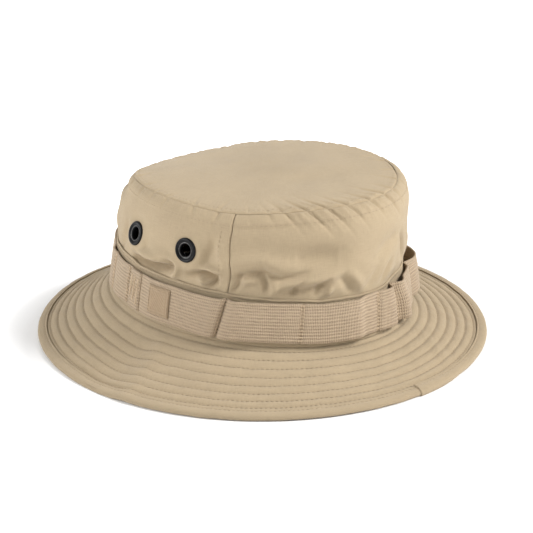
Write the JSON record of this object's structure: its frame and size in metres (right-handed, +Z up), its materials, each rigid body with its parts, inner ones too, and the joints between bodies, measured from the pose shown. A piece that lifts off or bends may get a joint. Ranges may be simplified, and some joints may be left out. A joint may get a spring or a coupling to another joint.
{
  "type": "boonie hat",
  "caption": "Soft wide-brimmed field hat with a stitched brim, a round crown, vent eyelets and a band of webbing loops.",
  "frame": {"origin": "on the floor under the middle of the brim's outline", "axes": "+Z up, +Y towards the wearer's back, +X towards the wearer's left"},
  "size_m": [0.2692, 0.3052, 0.1122],
  "materials": {
    "crown_cloth": "tan polyester-cotton poplin, matt, washed",
    "brim_cloth": "the same tan cloth, quilted by rows of stitching",
    "webbing": "tan ribbed nylon webbing",
    "tab_weave": "plain woven tab, tone on tone",
    "thread": "tan polyester sewing thread",
    "black_metal": "black enamel, satin",
    "interlining": "stiff woven interlining",
    "sweatband_cloth": "tan cotton twill tape",
    "seam_tape": "tan bias tape",
    "label_cloth": "off-white woven tape, blank"
  },
  "bodies": {
    "root": {"base_band": "crown_cloth", "base_seam_binding": "seam_tape", "brim_binding": "brim_cloth", "brim_interlining": "interlining", "brim_top_cloth": "brim_cloth", "brim_under_cloth": "brim_cloth", "crown_back_panel": "crown_cloth", "crown_front_panel": "crown_cloth", "crown_tip": "crown_cloth", "foliage_loop_01": "webbing", "foliage_loop_02": "webbing", "foliage_loop_03": "webbing", "foliage_loop_04": "webbing", "foliage_loop_05": "webbing", "foliage_loop_06": "webbing", "foliage_loop_07": "webbing", "foliage_loop_08": "webbing", "foliage_loop_09": "webbing", "foliage_loop_10": "webbing", "foliage_loop_11": "webbing", "foliage_loop_12": "webbing", "side_seam_tape_left": "seam_tape", "side_seam_tape_right": "seam_tape", "size_label": "label_cloth", "sweatband": "sweatband_cloth", "tip_seam_tape": "seam_tape", "vent_eyelet_left_front": "black_metal", "vent_eyelet_left_rear": "black_metal", "vent_eyelet_right_front": "black_metal", "vent_eyelet_right_rear": "black_metal", "vent_washer_left_front": "black_metal", "vent_washer_left_rear": "black_metal", "vent_washer_right_front": "black_metal", "vent_washer_right_rear": "black_metal", "webbing_lap": "webbing", "webbing_tab": "tab_weave", "webbing_tacks": "thread"}
  },
  "joints": []
}
